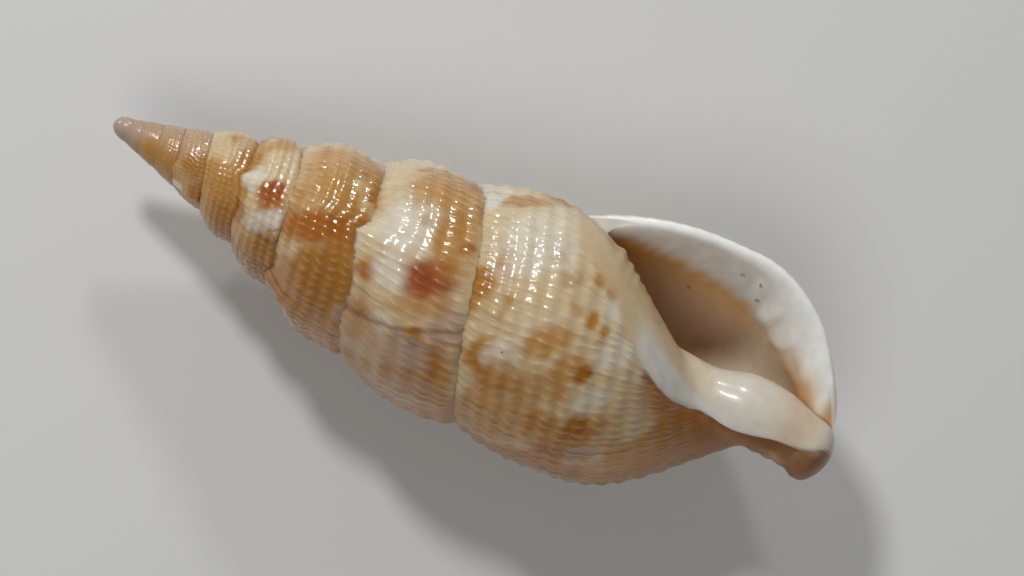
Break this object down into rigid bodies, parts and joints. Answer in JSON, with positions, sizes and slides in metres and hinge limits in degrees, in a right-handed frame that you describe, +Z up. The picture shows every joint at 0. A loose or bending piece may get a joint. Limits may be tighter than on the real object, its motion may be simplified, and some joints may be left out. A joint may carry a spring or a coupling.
{
  "type": "dwarf triton shell",
  "caption": "Slender dwarf triton seashell lying aperture up, with beaded whorls, old lip ridges and a glossy white inner lip.",
  "frame": {"origin": "middle of the footprint, on the surface that the shell lies on", "axes": "+X along the shell from the apex to the canal, +Y towards the outer lip, +Z up"},
  "size_m": [0.0622, 0.023, 0.021],
  "materials": {
    "shell": "glossy"
  },
  "bodies": {
    "root": {"shell": "shell"}
  },
  "joints": []
}
